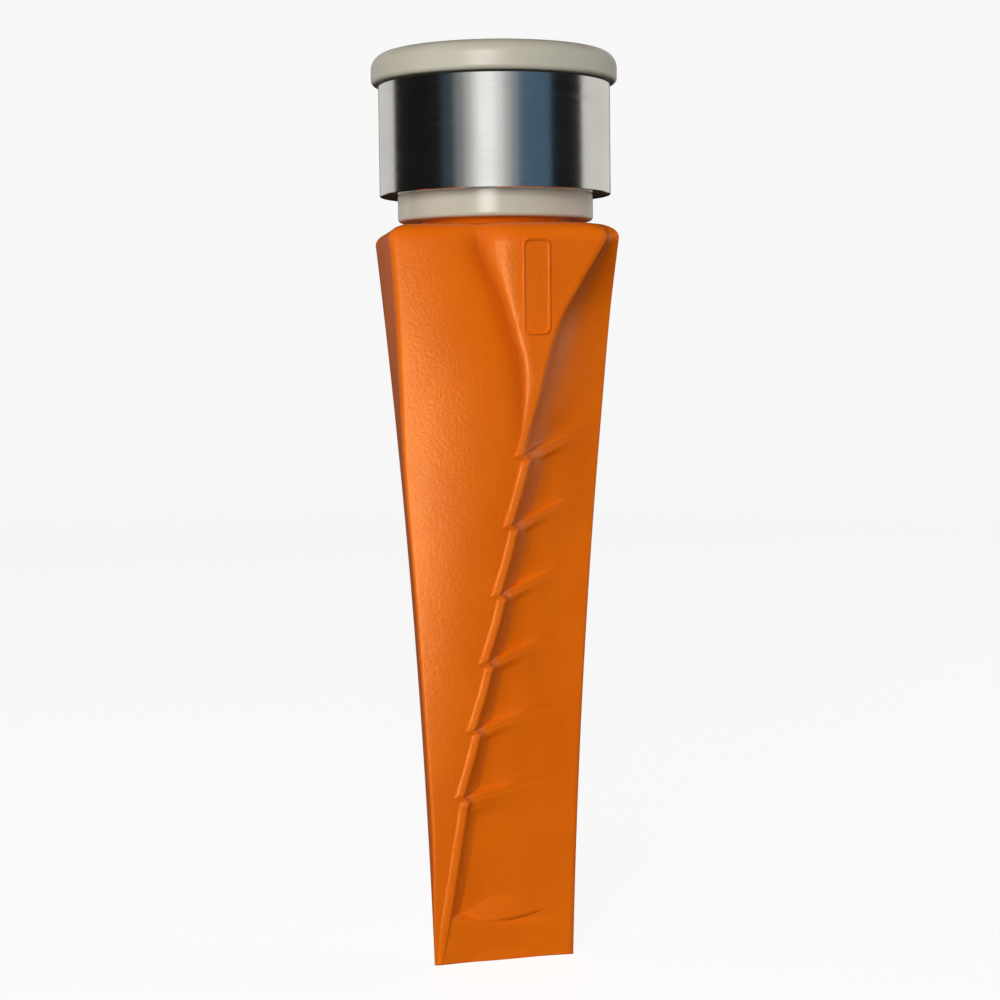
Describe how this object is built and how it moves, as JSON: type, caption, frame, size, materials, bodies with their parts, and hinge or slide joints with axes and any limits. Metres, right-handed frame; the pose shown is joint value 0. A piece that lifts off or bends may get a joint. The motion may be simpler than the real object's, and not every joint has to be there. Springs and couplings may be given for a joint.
{
  "type": "splitting wedge",
  "caption": "Twisted steel wood splitting wedge with barbed ridges, a plastic striking cap and a steel ring that holds the cap together.",
  "frame": {"origin": "middle of the cutting edge, at the lowest point of the wedge, on its long axis", "axes": "+Z along the wedge from the cutting edge to the striking face; the head's broad front faces -Y and its sides face +X and -X; the cutting edge is turned 14.3 degrees from X about +Z"},
  "size_m": [0.0588, 0.0588, 0.22],
  "materials": {
    "coated_steel": "semi-gloss orange powder coat over a forged skin",
    "cap_plastic": "natural off-white impact plastic, fine satin",
    "ring_steel": "fine-turned bright steel"
  },
  "bodies": {
    "root": {"wedge_body": "coated_steel", "striking_cap": "cap_plastic", "impact_ring": "ring_steel"}
  },
  "joints": []
}
